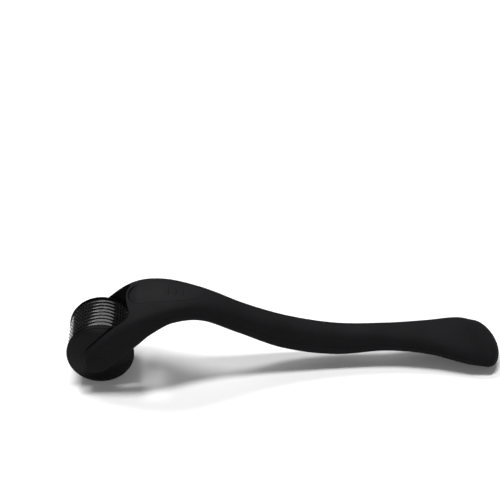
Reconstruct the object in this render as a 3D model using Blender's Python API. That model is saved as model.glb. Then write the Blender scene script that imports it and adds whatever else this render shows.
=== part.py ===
"""Disc-type derma roller.

An S-curved handle in two shells ends in a fork. Nine toothed needle discs, eight spacer rings
and two end discs are stacked on a core, which turns freely on a steel axle held by the fork.

Frame: +X from the roller to the tail, +Y along the axle, +Z up. The roller and the underside of
the tail stand on Z = 0, and the origin is under the middle of the whole object.
"""
import math

import bmesh
import bpy
from mathutils import Matrix, Vector

MM = 0.001

# Roller
ROLLER_SIDES = 40                 # facets round the big turned pieces
END_R = 10.43 * MM                # radius of the end discs, which stand on the table
END_INNER_Y = 8.1 * MM            # inner face of an end disc
END_DOME_R = 28.0 * MM            # curvature of its outer face
END_DOME_Y = 10.3 * MM            # where that curve would reach the axis
END_BOSS_Y = 10.2 * MM            # flat of its thrust boss
THRUST_R = 3.0 * MM               # small boss that keeps the disc off the arm
SPIGOT_R = 4.0 * MM               # spigot of the end disc, held in the core
SPIGOT_LENGTH = 2.0 * MM
NEEDLE_DISCS = 9
NEEDLES_PER_DISC = 60
DISC_PITCH = 1.914 * MM
DISC_THICK = 0.30 * MM
NEEDLE_ROOT_R = 9.3 * MM
NEEDLE_TIP_R = 10.38 * MM
SPACER_R = 10.05 * MM
STACK_GAP = 0.15 * MM             # between a needle disc and its spacer
CORE_R = 6.0 * MM
CORE_HALF = 8.0 * MM
CORE_CLEAR = 0.1 * MM             # core to discs, spacers and spigots

# Axle
PIN_R = 1.25 * MM
PIN_HALF = 12.2 * MM
PIN_SIDES = 24
RUNNING_BORE_R = 1.35 * MM        # bore of the turning pieces
ARM_BORE_R = 1.32 * MM
CAP_R = 1.85 * MM
CAP_INNER_Y = 12.4 * MM
CAP_OUTER_Y = 13.47 * MM
CAP_RECESS_R = 2.0 * MM
CAP_RECESS_Y = 12.3 * MM
CAP_BEVEL = 0.12 * MM

# Handle: its spine in the XZ plane, with the roller's centre at X = 0. Each station gives
# x, z, heights of the section above and below the spine, half width along Y, squareness of
# the section's top and of its bottom, and how far its top is crowned.
AXLE_Z = END_R * math.cos(math.pi / ROLLER_SIDES)
SPINE = (
    (0.0, AXLE_Z / MM, 5.3, 5.1, 13.4, 5.0, 4.0, 0.0),
    (9.3, 18.50, 5.2, 5.1, 13.3, 4.6, 4.0, 2.0),
    (15.0, 21.75, 4.90, 4.25, 12.7, 3.4, 3.6, 0.9),
    (22.0, 23.40, 3.75, 4.10, 10.2, 3.2, 2.7, 0.0),
    (32.0, 21.90, 3.85, 3.85, 7.0, 2.4, 2.3, 0.0),
    (44.0, 16.40, 4.10, 4.10, 5.9, 2.2, 2.2, 0.0),
    (58.0, 10.70, 4.80, 4.80, 5.7, 2.2, 2.2, 0.0),
    (74.0, 7.50, 4.70, 4.70, 5.35, 2.2, 2.2, 0.0),
    (90.0, 7.50, 3.85, 3.85, 5.35, 2.2, 2.2, 0.0),
    (104.0, 6.70, 3.85, 3.85, 7.9, 2.2, 2.2, 0.0),
    (115.0, 5.10, 4.40, 4.40, 11.6, 2.2, 2.2, 0.0),
    (121.0, 3.80, 3.65, 3.65, 12.3, 2.2, 2.2, 0.0),
)
CROWN_HALF_W = 10.4               # the crown spans the fork, mm
SPINE_STEPS = 3                   # sections per spine interval
TAIL_TIP_X = 126.4                # in millimetres, as SPINE is
TAIL_SECTIONS = 5
LOBE_R = 4.95                     # how far the rounded arm end reaches, mm
LOBE_SECTIONS = 5                 # its sections
LOBE_EDGE = 0.3                   # how far its outer edge rounds in, mm
OUTER_POINTS = 13                 # points of a shell's outer arc
INNER_POINTS = 7                  # points of its inner arc
WALL = 1.9                        # shell thickness, mm
CAVITY_FROM_X = 17.0
CAVITY_TO_X = 116.0
SHELL_GAP = 0.2                   # between the two shells, mm
PARTING_FRONT_X = 8.0             # where the upper shell starts on the arms
PARTING_LEVEL_X = 24.0            # behind here the parting follows the spine
PARTING_TOP = 0.80                # its height at the front, as a share of the section's rise
PARTING_STEP = 0.4                # length of the lower shell's step up to the arms

# Fork
FORK_INNER_Y = 10.4 * MM          # inner face of an arm
THROAT_DEPTH = 16.5 * MM          # from the axle to the bottom of the fork, along the arms
THROAT_CORNER = 3.0 * MM

# Locating pegs that join the shells
PEG_X = (34.0, 62.0, 106.0)
PEG_R = 0.9 * MM
PEG_BELOW = 1.2 * MM              # how far a peg reaches under the parting
BOSS_R = 1.9 * MM
SOCKET_R = 1.1 * MM
SOCKET_DEPTH = 1.6 * MM
WALL_BITE = 1.0 * MM              # how far pegs and bosses run into their shell's wall

# Thumb inlay on the arch: an egg-shaped pad, whose front end falls away as a D-shaped facet
INLAY_FRONT_X = 12.25
INLAY_CREASE_X = 14.2
INLAY_WIDEST_X = 18.0
INLAY_REAR_X = 31.3
INLAY_HALF_W = 6.1
INLAY_FALL = 0.5                  # how far the facet falls at the front end, mm
INLAY_PROUD = 0.15                # above the shell, mm
INLAY_THICK = 1.1
INLAY_CLEAR = 0.2
INLAY_ROWS = 14
INLAY_COLS = 8
RIB_X = (21.4, 23.4, 25.4)
RIB_SIZE = Vector((0.7, 5.0, 0.6)) * MM

# The object's own frame: the roller stands this far from the middle of the whole length.
ROLLER_X = (END_R - TAIL_TIP_X * MM) / 2


def clear_scene():
    for obj in list(bpy.data.objects):
        bpy.data.objects.remove(obj, do_unlink=True)


def material(name, colour, roughness, metallic=0.0):
    mat = bpy.data.materials.new(name)
    mat.use_nodes = True
    shader = mat.node_tree.nodes["Principled BSDF"]
    shader.inputs["Base Color"].default_value = (*colour, 1.0)
    shader.inputs["Roughness"].default_value = roughness
    shader.inputs["Metallic"].default_value = metallic
    return mat


def empty(name, location):
    obj = bpy.data.objects.new(name, None)
    obj.location = location
    bpy.context.collection.objects.link(obj)
    return obj


def add_object(name, bm, parent, mat=None, smooth_angle=math.radians(40)):
    bmesh.ops.recalc_face_normals(bm, faces=bm.faces)
    mesh = bpy.data.meshes.new(name)
    bm.to_mesh(mesh)
    bm.free()
    mesh.shade_smooth()
    mesh.set_sharp_from_angle(angle=smooth_angle)
    if mat:
        mesh.materials.append(mat)
    obj = bpy.data.objects.new(name, mesh)
    obj.parent = parent
    bpy.context.collection.objects.link(obj)
    return obj


def hide_cutter(obj):
    obj.hide_render = True
    obj.display_type = "WIRE"
    return obj


def boolean(obj, cutter, operation="DIFFERENCE"):
    mod = obj.modifiers.new(cutter.name, "BOOLEAN")
    mod.object = cutter
    mod.operation = operation
    mod.solver = "EXACT"


# Turned pieces ---------------------------------------------------------------------------


def turned(profile, sides):
    """Ring turned about Y from a closed profile of (radius, y) points."""
    bm = bmesh.new()
    rings = []
    for k in range(sides):
        angle = 2 * math.pi * (k + 0.5) / sides
        along = Vector((math.cos(angle), 0, math.sin(angle)))
        rings.append([bm.verts.new(along * r + Vector((0, y, 0))) for r, y in profile])
    for k in range(sides):
        ring, following = rings[k], rings[(k + 1) % sides]
        for i in range(len(profile)):
            j = (i + 1) % len(profile)
            bm.faces.new((ring[i], ring[j], following[j], following[i]))
    return bm


def rod(radius, y_low, y_high, sides):
    """Solid cylinder along Y."""
    bm = bmesh.new()
    turn = Matrix.Rotation(math.pi / 2, 4, "X") @ Matrix.Rotation(math.pi / sides, 4, "Z")
    place = Matrix.Translation((0, (y_low + y_high) / 2, 0)) @ turn
    bmesh.ops.create_cone(
        bm, cap_ends=True, segments=sides, radius1=radius, radius2=radius,
        depth=y_high - y_low, matrix=place,
    )
    return bm


def make_end_disc(name, side, axis, mat):
    """Closing disc: domed outer face, thrust boss outside, spigot inside."""
    steps = 6
    dome = []
    for k in range(steps + 1):
        radius = END_R + (THRUST_R - END_R) * k / steps
        drop = END_DOME_R - math.sqrt(END_DOME_R ** 2 - radius ** 2)
        dome.append((radius, END_DOME_Y - drop))
    profile = [
        (RUNNING_BORE_R, END_INNER_Y - SPIGOT_LENGTH),
        (SPIGOT_R, END_INNER_Y - SPIGOT_LENGTH),
        (SPIGOT_R, END_INNER_Y),
        (END_R, END_INNER_Y),
        *dome,
        (THRUST_R, END_BOSS_Y),
        (RUNNING_BORE_R, END_BOSS_Y),
    ]
    add_object(name, turned([(r, side * y) for r, y in profile], ROLLER_SIDES), axis, mat)


def make_core(axis, mat):
    """Sleeve that carries the stack, counterbored at both ends for the spigots."""
    bore_r = SPIGOT_R + CORE_CLEAR
    floor_y = END_INNER_Y - SPIGOT_LENGTH - CORE_CLEAR
    profile = [
        (RUNNING_BORE_R, -floor_y),
        (bore_r, -floor_y),
        (bore_r, -CORE_HALF),
        (CORE_R, -CORE_HALF),
        (CORE_R, CORE_HALF),
        (bore_r, CORE_HALF),
        (bore_r, floor_y),
        (RUNNING_BORE_R, floor_y),
    ]
    add_object("roller_core", turned(profile, PIN_SIDES), axis, mat)


def make_needle_disc(name, y, axis, mat):
    """Thin steel disc with a triangular needle at each of its teeth."""
    bm = bmesh.new()
    faces_y = (y - DISC_THICK / 2, y + DISC_THICK / 2)
    outline = []
    for k in range(2 * NEEDLES_PER_DISC):
        radius = NEEDLE_TIP_R if k % 2 == 0 else NEEDLE_ROOT_R
        angle = math.pi * k / NEEDLES_PER_DISC
        outline.append((radius * math.cos(angle), radius * math.sin(angle)))
    bore_r = (CORE_R + CORE_CLEAR) / math.cos(math.pi / PIN_SIDES)
    bore = []
    for k in range(PIN_SIDES):
        angle = 2 * math.pi * (k + 0.5) / PIN_SIDES
        bore.append((bore_r * math.cos(angle), bore_r * math.sin(angle)))
    layers = []
    for face_y in faces_y:
        outer = [bm.verts.new((px, face_y, pz)) for px, pz in outline]
        inner = [bm.verts.new((px, face_y, pz)) for px, pz in bore]
        edges = []
        for loop in (outer, inner):
            edges += [bm.edges.new((loop[i], loop[i - 1])) for i in range(len(loop))]
        bmesh.ops.triangle_fill(bm, use_beauty=True, edges=edges)
        layers.append((outer, inner))
    for low, high in zip(*layers):
        for i in range(len(low)):
            bm.faces.new((low[i - 1], low[i], high[i], high[i - 1]))
    add_object(name, bm, axis, mat, smooth_angle=math.radians(20))


def make_spacer(name, y, axis, mat):
    half = DISC_PITCH / 2 - DISC_THICK / 2 - STACK_GAP
    bore_r = (CORE_R + CORE_CLEAR) / math.cos(math.pi / ROLLER_SIDES)
    profile = [
        (bore_r, y - half),
        (SPACER_R, y - half),
        (SPACER_R, y + half),
        (bore_r, y + half),
    ]
    add_object(name, turned(profile, ROLLER_SIDES), axis, mat)


def make_roller(axis, steel, gloss, satin):
    make_core(axis, satin)
    first_y = -DISC_PITCH * (NEEDLE_DISCS - 1) / 2
    for k in range(NEEDLE_DISCS):
        make_needle_disc(f"needle_disc_{k + 1}", first_y + k * DISC_PITCH, axis, steel)
    for k in range(NEEDLE_DISCS - 1):
        make_spacer(f"spacer_ring_{k + 1}", first_y + (k + 0.5) * DISC_PITCH, axis, gloss)
    make_end_disc("end_disc_front", -1, axis, satin)
    make_end_disc("end_disc_back", 1, axis, satin)


def make_axle(frame, steel, black):
    """Pin through both arms and the roller, and the caps that close its bores."""
    centre = Vector((0, 0, AXLE_Z))
    pin = add_object("axle_pin", rod(PIN_R, -PIN_HALF, PIN_HALF, PIN_SIDES), frame, steel)
    pin.location = centre
    for name, side in (("axle_cap_front", -1), ("axle_cap_back", 1)):
        low, high = sorted((side * CAP_INNER_Y, side * CAP_OUTER_Y))
        cap = add_object(name, rod(CAP_R, low, high, PIN_SIDES), frame, black)
        cap.location = centre
        bevel = cap.modifiers.new("edge", "BEVEL")
        bevel.width = CAP_BEVEL
        bevel.segments = 1
        bevel.limit_method = "ANGLE"


# Handle ----------------------------------------------------------------------------------


class Station:
    """One cross-section of the handle: its place on the spine and its size."""

    def __init__(self, values):
        self.values = tuple(values)
        self.x, self.z, self.rise, self.depth, self.width = self.values[:5]
        self.top_power, self.bottom_power, self.crown = self.values[5:]
        self.normal = Vector((0, 0, 1))

    def point(self, y, height):
        """Point at lateral y and height above the spine, both in millimetres."""
        base = Vector((self.x, y, self.z)) + self.normal * height
        return base * MM

    def crowned(self, y):
        """Extra height of the top at lateral y."""
        share = min(abs(y) / CROWN_HALF_W, 1.0)
        return self.crown * (1 - share ** 2) ** 2

    def surface(self, y):
        """Height of the top surface above the spine at lateral y."""
        share = min(abs(y) / self.width, 1.0)
        power = self.top_power
        return self.rise * (1 - share ** power) ** (1 / power) + self.crowned(y)

    def arc(self, inset, height, count, side):
        """Superellipse outline above (side 1) or below (side -1) a height, from +Y to -Y."""
        width = self.width - inset
        reach = (self.rise if height > 0 else self.depth) - inset
        power = self.top_power if height > 0 else self.bottom_power
        start = math.copysign(math.asin((abs(height) / reach) ** (power / 2)), height)
        outline = []
        for k in range(count):
            t = k / (count - 1)
            angle = start + side * (math.pi - 2 * side * start) * t
            c, s = math.cos(angle), math.sin(angle)
            reach = (self.rise if s > 0 else self.depth) - inset
            power = self.top_power if s > 0 else self.bottom_power
            y = math.copysign(abs(c) ** (2 / power), c) * width
            h = math.copysign(abs(s) ** (2 / power), s) * reach
            if side > 0:
                h += self.crowned(y)
            outline.append(self.point(y, h))
        return outline

    def flat(self, height, count):
        """Straight line across the section at a height, from +Y to -Y, short of its edges."""
        reach = 0.9 * self.width * (1 - abs(height / self.rise) ** self.top_power) ** (
            1 / self.top_power)
        return [
            self.point(reach * (1 - 2 * k / (count - 1)), height) for k in range(count)
        ]


def blend(first, second, slope_a, slope_b, span, t):
    """Cubic Hermite value between two stations."""
    return [
        (2 * t ** 3 - 3 * t ** 2 + 1) * a + (t ** 3 - 2 * t ** 2 + t) * span * sa
        + (3 * t ** 2 - 2 * t ** 3) * b + (t ** 3 - t ** 2) * span * sb
        for a, b, sa, sb in zip(first, second, slope_a, slope_b)
    ]


def spine_values():
    """SPINE made smooth: cubic Hermite between its stations."""
    spans = [math.hypot(b[0] - a[0], b[1] - a[1]) for a, b in zip(SPINE, SPINE[1:])]
    chords = [
        [(q - p) / span for p, q in zip(a, b)]
        for a, b, span in zip(SPINE, SPINE[1:], spans)
    ]
    slopes = [chords[0]]
    for k in range(1, len(chords)):
        total = spans[k - 1] + spans[k]
        slopes.append([
            (before * spans[k - 1] + after * spans[k]) / total
            for before, after in zip(chords[k - 1], chords[k])
        ])
    slopes.append(chords[-1])
    values = []
    for k, span in enumerate(spans):
        for step in range(SPINE_STEPS):
            t = step / SPINE_STEPS
            values.append(blend(SPINE[k], SPINE[k + 1], slopes[k], slopes[k + 1], span, t))
    values.append(list(SPINE[-1]))
    return values


def handle_stations():
    """All cross-sections from the arm ends round the axle to the tip of the tail."""
    body = spine_values()
    stations = []
    start = body[0]
    heading = Vector((body[1][0] - start[0], body[1][1] - start[1])).normalized()
    for k in range(LOBE_SECTIONS, 0, -1):
        angle = math.pi / 2 * k / (LOBE_SECTIONS + 0.35)
        back = LOBE_R * math.sin(angle)
        shrink = math.cos(angle)
        stations.append(Station((
            start[0] - heading.x * back,
            start[1] - heading.y * back,
            start[2] * shrink,
            start[3] * shrink,
            start[4] - LOBE_EDGE * (1 - shrink),
            *start[5:],
        )))
    stations += [Station(values) for values in body]
    end, before = body[-1], body[-2]
    fall = (end[1] - before[1]) / (end[0] - before[0])
    reach = TAIL_TIP_X - end[0]
    last_angle = math.pi / 2 * TAIL_SECTIONS / (TAIL_SECTIONS + 0.15)
    for k in range(1, TAIL_SECTIONS + 1):
        angle = last_angle * k / TAIL_SECTIONS
        x = end[0] + reach * math.sin(angle) / math.sin(last_angle)
        shrink = math.cos(angle)
        stations.append(Station((
            x,
            end[1] + (x - end[0]) * fall,
            end[2] * shrink ** 0.8,
            end[3] * shrink ** 0.8,
            end[4] * shrink,
            *end[5:],
        )))
    aim(stations)
    front = station_at(stations, PARTING_FRONT_X)
    stations.append(front)
    stations.sort(key=lambda station: station.x)
    return stations


def aim(stations):
    """Set each section square to the spine."""
    for k, station in enumerate(stations):
        a = stations[max(k - 1, 0)]
        b = stations[min(k + 1, len(stations) - 1)]
        run = Vector((b.x - a.x, 0, b.z - a.z)).normalized()
        station.normal = Vector((-run.z, 0, run.x))


def loft(rings):
    """Closed body through rings of equally many points."""
    bm = bmesh.new()
    loops = [[bm.verts.new(p) for p in ring] for ring in rings]
    for a, b in zip(loops, loops[1:]):
        for i in range(len(a)):
            bm.faces.new((a[i - 1], a[i], b[i], b[i - 1]))
    bm.faces.new(loops[0])
    bm.faces.new(loops[-1])
    return bm


def parting_height(station):
    """Height of the parting above the spine: level with it, rising to the arms' top edge."""
    span = PARTING_LEVEL_X - PARTING_FRONT_X
    t = min(max((PARTING_LEVEL_X - station.x) / span, 0.0), 1.0)
    return station.rise * PARTING_TOP * t * t * (3 - 2 * t)


def shell_ring(station, height, side):
    """Outline of a shell's section: outer arc, then the hollow or the flat parting face."""
    outer = station.arc(0.0, height, OUTER_POINTS, side)
    if CAVITY_FROM_X <= station.x <= CAVITY_TO_X:
        inner = station.arc(WALL, height, INNER_POINTS, side)
    else:
        inner = station.flat(height, INNER_POINTS)
    return outer + inner[::-1]


def upper_rings(stations):
    return [
        shell_ring(s, parting_height(s) + SHELL_GAP / 2, 1)
        for s in stations if s.x >= PARTING_FRONT_X
    ]


def lower_rings(stations):
    """Full sections along the arms, a step down at the front of the upper shell, then a half."""
    rings = []
    step_x = PARTING_FRONT_X - SHELL_GAP
    arms = [s for s in stations if s.x < step_x - PARTING_STEP]
    for station in [*arms, station_at(stations, step_x - PARTING_STEP)]:
        bottom = station.arc(0.0, 0.0, OUTER_POINTS, -1)
        top = station.arc(0.0, 0.0, INNER_POINTS + 2, 1)[1:-1]
        rings.append(bottom + top[::-1])
    behind = [s for s in stations if s.x >= PARTING_FRONT_X]
    for station in [station_at(stations, step_x), *behind]:
        rings.append(shell_ring(station, parting_height(station) - SHELL_GAP / 2, -1))
    return rings


def throat_cutter(frame, heading):
    """Slot between the arms, with rounded corners at its bottom."""
    steps = 5
    front = -2 * END_R
    outline = [(front, -FORK_INNER_Y)]
    centre_a = THROAT_DEPTH - THROAT_CORNER
    centre_y = FORK_INNER_Y - THROAT_CORNER
    for side in (-1, 1):
        for k in range(steps + 1):
            angle = math.pi / 2 * (k / steps if side > 0 else 1 - k / steps)
            along = centre_a + THROAT_CORNER * math.cos(angle)
            across = side * (centre_y + THROAT_CORNER * math.sin(angle))
            outline.append((along, across))
    outline.append((front, FORK_INNER_Y))
    across_depth = 4 * END_R
    rings = []
    for height in (-across_depth / 2, across_depth / 2):
        rings.append([
            Vector((
                heading.x * a - heading.y * height, y,
                AXLE_Z + heading.y * a + heading.x * height,
            ))
            for a, y in outline
        ])
    return hide_cutter(add_object("throat_cut", loft(rings), frame))


def normal_rod(name, station, low, high, radius, frame):
    """Round rod square to the spine, between two heights given in metres."""
    bm = bmesh.new()
    turn = Vector((0, 0, 1)).rotation_difference(station.normal).to_matrix().to_4x4()
    middle = station.point(0, 0) + station.normal * (low + high) / 2
    bmesh.ops.create_cone(
        bm, cap_ends=True, segments=14, radius1=radius, radius2=radius,
        depth=high - low, matrix=Matrix.Translation(middle) @ turn,
    )
    return hide_cutter(add_object(name, bm, frame))


def station_at(stations, x):
    """Station interpolated at an x on the spine."""
    for a, b in zip(stations, stations[1:]):
        if a.x <= x <= b.x:
            t = (x - a.x) / (b.x - a.x)
            station = Station([p + (q - p) * t for p, q in zip(a.values, b.values)])
            station.normal = a.normal.lerp(b.normal, t).normalized()
            return station
    raise ValueError("x is off the spine")


def inlay_half_width(x, clear):
    """Half width of the egg-shaped pad at an x along the spine."""
    if x < INLAY_WIDEST_X:
        share = (INLAY_WIDEST_X - x) / (INLAY_WIDEST_X - INLAY_FRONT_X + clear)
        power = 5.5
    else:
        share = (x - INLAY_WIDEST_X) / (INLAY_REAR_X - INLAY_WIDEST_X + clear)
        power = 1.9
    return (INLAY_HALF_W + clear) * max(1 - share ** power, 0.0) ** (1 / 2.2)


def inlay_body(stations, clear, top):
    """Egg-shaped pad that follows the arch, grown by a clearance all round."""
    bm = bmesh.new()
    grid = []
    front, rear = INLAY_FRONT_X - clear, INLAY_REAR_X + clear
    for row in range(INLAY_ROWS + 1):
        share = (1 - math.cos(math.pi * (row + 0.25) / (INLAY_ROWS + 0.5))) / 2
        x = front + (rear - front) * share
        station = station_at(stations, x)
        half = inlay_half_width(x, clear)
        fall = INLAY_FALL * max((INLAY_CREASE_X - x) / (INLAY_CREASE_X - INLAY_FRONT_X), 0.0)
        line = []
        for col in range(INLAY_COLS + 1):
            y = half * (2 * col / INLAY_COLS - 1)
            height = station.surface(y)
            line.append((
                bm.verts.new(station.point(y, height + top - fall)),
                bm.verts.new(station.point(y, height + INLAY_PROUD - INLAY_THICK - clear)),
            ))
        grid.append(line)
    for layer in (0, 1):
        for a, b in zip(grid, grid[1:]):
            for i in range(INLAY_COLS):
                bm.faces.new((a[i][layer], a[i + 1][layer], b[i + 1][layer], b[i][layer]))
    for line in (grid[0], grid[-1]):
        for p, q in zip(line, line[1:]):
            bm.faces.new((p[0], q[0], q[1], p[1]))
    for col in (0, INLAY_COLS):
        for a, b in zip(grid, grid[1:]):
            bm.faces.new((a[col][0], b[col][0], b[col][1], a[col][1]))
    return bm


def make_inlay(stations, frame, mat):
    inlay = add_object("thumb_inlay", inlay_body(stations, 0.0, INLAY_PROUD), frame, mat)
    for k, x in enumerate(RIB_X):
        station = station_at(stations, x)
        bm = bmesh.new()
        turn = Vector((0, 0, 1)).rotation_difference(station.normal).to_matrix().to_4x4()
        place = Matrix.Translation(station.point(0, station.surface(0) + INLAY_PROUD)) @ turn
        bmesh.ops.create_cube(bm, size=1.0, matrix=place @ Matrix.Diagonal((*RIB_SIZE, 1)))
        rib = hide_cutter(add_object(f"inlay_rib_{k + 1}", bm, frame))
        boolean(inlay, rib, "UNION")


def make_handle(frame, shell_mat, inlay_mat):
    stations = handle_stations()
    heading = Vector((SPINE[1][0], SPINE[1][1] - SPINE[0][1])).normalized()
    upper = add_object("upper_shell", loft(upper_rings(stations)), frame, shell_mat)
    lower = add_object("lower_shell", loft(lower_rings(stations)), frame, shell_mat)
    throat = throat_cutter(frame, heading)
    boolean(upper, throat)
    boolean(lower, throat)

    for k, x in enumerate(PEG_X):
        station = station_at(stations, x)
        roof = (station.rise - WALL) * MM + WALL_BITE
        floor = -(station.depth - WALL) * MM - WALL_BITE
        gap = SHELL_GAP * MM
        peg = normal_rod(f"peg_{k + 1}", station, -PEG_BELOW, roof, PEG_R, frame)
        boss = normal_rod(f"boss_{k + 1}", station, floor, -gap, BOSS_R, frame)
        socket = normal_rod(f"socket_{k + 1}", station, -SOCKET_DEPTH, gap, SOCKET_R, frame)
        boolean(upper, peg, "UNION")
        boolean(lower, boss, "UNION")
        boolean(lower, socket)

    pocket = add_object("inlay_pocket", inlay_body(stations, INLAY_CLEAR, 3.0), frame)
    boolean(upper, hide_cutter(pocket))
    make_inlay(stations, frame, inlay_mat)

    far = 2 * END_R
    bore = hide_cutter(add_object("axle_bore", rod(ARM_BORE_R, -far, far, PIN_SIDES), frame))
    bore.location.z = AXLE_Z
    boolean(lower, bore)
    for name, side in (("recess_front", -1), ("recess_back", 1)):
        low, high = sorted((side * CAP_RECESS_Y, side * far))
        recess = hide_cutter(add_object(name, rod(CAP_RECESS_R, low, high, PIN_SIDES), frame))
        recess.location.z = AXLE_Z
        boolean(lower, recess)


def main():
    clear_scene()
    shell_mat = material("soft_black", (0.012, 0.012, 0.013), 0.55)
    inlay_mat = material("inlay_black", (0.020, 0.020, 0.022), 0.45)
    gloss = material("gloss_black", (0.010, 0.010, 0.011), 0.12)
    satin = material("satin_black", (0.012, 0.012, 0.013), 0.35)
    needle_steel = material("needle_steel", (0.55, 0.53, 0.50), 0.25, 1.0)
    pin_steel = material("pin_steel", (0.60, 0.60, 0.61), 0.20, 1.0)

    handle_frame = empty("handle_frame", (ROLLER_X, 0, 0))
    roller_axis = empty("roller_axis", (ROLLER_X, 0, AXLE_Z))
    make_handle(handle_frame, shell_mat, inlay_mat)
    make_axle(handle_frame, pin_steel, shell_mat)
    make_roller(roller_axis, needle_steel, gloss, satin)


main()
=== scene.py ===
"""Looks of the derma roller: detailed covers, pad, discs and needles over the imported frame.

The handle's two halves are lofted along the same spine as the frame's, in millimetres with
the roller's centre at x = 0, and the turned pieces take their places from the frame's boxes.
"""
import bisect
import math

import bmesh
import bpy
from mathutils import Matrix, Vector


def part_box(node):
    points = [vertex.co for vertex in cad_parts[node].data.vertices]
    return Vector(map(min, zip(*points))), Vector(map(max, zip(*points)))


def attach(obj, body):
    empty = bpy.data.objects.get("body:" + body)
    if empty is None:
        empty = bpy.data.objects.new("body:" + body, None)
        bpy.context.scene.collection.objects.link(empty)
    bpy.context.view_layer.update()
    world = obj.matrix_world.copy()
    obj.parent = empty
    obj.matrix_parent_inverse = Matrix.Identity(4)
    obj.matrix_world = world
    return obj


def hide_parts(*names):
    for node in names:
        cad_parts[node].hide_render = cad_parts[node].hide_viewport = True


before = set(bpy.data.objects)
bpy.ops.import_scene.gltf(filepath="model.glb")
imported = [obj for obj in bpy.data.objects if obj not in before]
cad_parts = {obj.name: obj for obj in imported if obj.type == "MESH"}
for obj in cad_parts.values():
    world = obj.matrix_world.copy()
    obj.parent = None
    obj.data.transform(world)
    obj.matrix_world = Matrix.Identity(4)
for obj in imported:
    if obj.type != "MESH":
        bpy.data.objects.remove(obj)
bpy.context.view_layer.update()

MM = 0.001
pin_low, pin_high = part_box("axle_pin")
AXLE = (pin_low + pin_high) / 2

# Handle spine: x, z, heights above and below, half width, squareness of top and bottom, crown
SPINE = (
    (0.0, AXLE.z / MM, 5.3, 5.1, 13.4, 5.0, 4.0, 0.0),
    (9.3, 18.50, 5.2, 5.1, 13.3, 4.6, 4.0, 2.0),
    (15.0, 21.75, 4.90, 4.25, 12.7, 3.4, 3.6, 0.9),
    (22.0, 23.40, 3.75, 4.10, 10.2, 3.2, 2.7, 0.0),
    (32.0, 21.90, 3.85, 3.85, 7.0, 2.4, 2.3, 0.0),
    (44.0, 16.40, 4.10, 4.10, 5.9, 2.2, 2.2, 0.0),
    (58.0, 10.70, 4.80, 4.80, 5.7, 2.2, 2.2, 0.0),
    (74.0, 7.50, 4.70, 4.70, 5.35, 2.2, 2.2, 0.0),
    (90.0, 7.50, 3.85, 3.85, 5.35, 2.2, 2.2, 0.0),
    (104.0, 6.70, 3.85, 3.85, 7.9, 2.2, 2.2, 0.0),
    (115.0, 5.10, 4.40, 4.40, 11.6, 2.2, 2.2, 0.0),
    (121.0, 3.80, 3.65, 3.65, 12.3, 2.2, 2.2, 0.0),
)
CROWN_HALF_W = 10.4               # the crown spans the fork
TAIL_TIP_X = 126.4
TAIL_POWER = 0.8                  # how fast the tail's height closes, against its width
LOBE_R = 4.95                     # how far the rounded arm end reaches past the axle
LOBE_EDGE = 0.3                   # the arm end's outer edge rounds in by this much
END_ANGLE = math.radians(88.0)    # where the lobe's and the tail's last sections stand
ARM_Y = 10.4                      # inner face of an arm
THROAT_A = 16.5                   # bottom of the fork, measured along the arms
THROAT_Y = 7.4                    # half width of its straight bottom
CORNER_A = 13.5                   # where its corners start
RIM_R = 0.28                      # rounding of the fork's inner edges
RIM_SHARE = 0.14                  # that rounding's largest share of a section's rise
PART_FRONT_X = 8.0                # where the upper cover starts on the arms
PART_LEVEL_X = 24.0               # behind here the seam follows the spine
PART_TOP = 0.80                   # its height at the front, as a share of the rise
SEAM_HALF = 0.02                  # half the gap between the covers
LIP_R = 0.07                      # rounding of the covers' edges at the seam
LIP_SHARE = 0.2                   # that rounding's largest share of a section's rise
SIDE_SHARE = 0.82                 # where a section's side strip starts, as a share of its width
REGULAR_U = 23.0                  # behind this spine length the sections are plain rings

# Numbers of steps along each stretch of the surface
RIM_STEPS = 5
LIP_STEPS = 3
STRIP_UPPER = 16
STRIP_LOWER = 26
WALL_STEPS = 5
CORNER_STEPS = 8
THROAT_STEPS = 20
PATCH_ROWS = 22
LOBE_STEPS = 16
ARM_STEPS = 22
PRONG_STEPS = 7
RING_COUNT = 170
TAIL_STEPS = 18

SIDE_SAMPLES = 180                # samples of a section's side
SPINE_SAMPLES = 4000              # samples of the spine
HALVINGS = 32                     # of the interval in which a length is searched
SEARCH_FROM_U = 2.0
TINY = 1e-6


# Spine -----------------------------------------------------------------------------------

SPANS = [math.hypot(b[0] - a[0], b[1] - a[1]) for a, b in zip(SPINE, SPINE[1:])]
CHORDS = [
    [(q - p) / span for p, q in zip(a, b)] for a, b, span in zip(SPINE, SPINE[1:], SPANS)
]


def knot_slopes():
    slopes = [CHORDS[0]]
    for k in range(1, len(CHORDS)):
        total = SPANS[k - 1] + SPANS[k]
        slopes.append([
            (p * SPANS[k - 1] + q * SPANS[k]) / total
            for p, q in zip(CHORDS[k - 1], CHORDS[k])
        ])
    slopes.append(CHORDS[-1])
    return slopes


SLOPES = knot_slopes()
KNOTS = [sum(SPANS[:k]) for k in range(len(SPANS) + 1)]
SPINE_LENGTH = KNOTS[-1]
HEADING = Vector((SPINE[1][0], SPINE[1][1] - SPINE[0][1])).normalized()


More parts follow.
